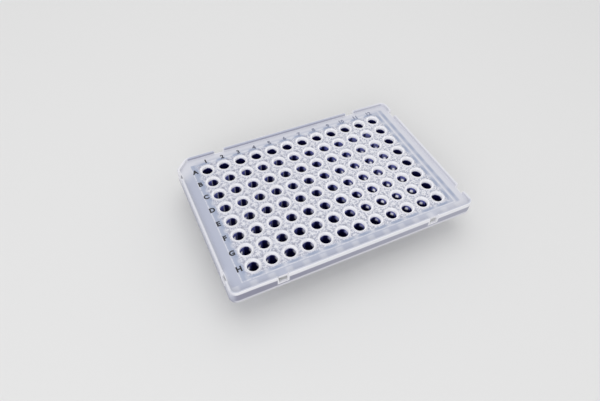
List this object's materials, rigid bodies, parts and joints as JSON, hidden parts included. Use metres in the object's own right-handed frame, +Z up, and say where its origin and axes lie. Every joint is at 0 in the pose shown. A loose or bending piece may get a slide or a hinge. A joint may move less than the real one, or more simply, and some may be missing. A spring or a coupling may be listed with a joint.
{
  "type": "well plate",
  "caption": "Half-skirted PCR well plate in frosted polypropylene: a grid of conical wells with raised rims, a lip, a cut corner and gripper notches.",
  "frame": {"origin": "middle of the footprint, level with the tips of the wells, on which the plate stands", "axes": "+X along a row of twelve wells, from column 1 to column 12; +Y from row H to row A; +Z up, out of the wells"},
  "size_m": [0.1278, 0.0854, 0.0207],
  "materials": {
    "frosted_polypropylene": "frosted, slightly glossy"
  },
  "bodies": {
    "root": {"plate": "frosted_polypropylene"}
  },
  "joints": []
}
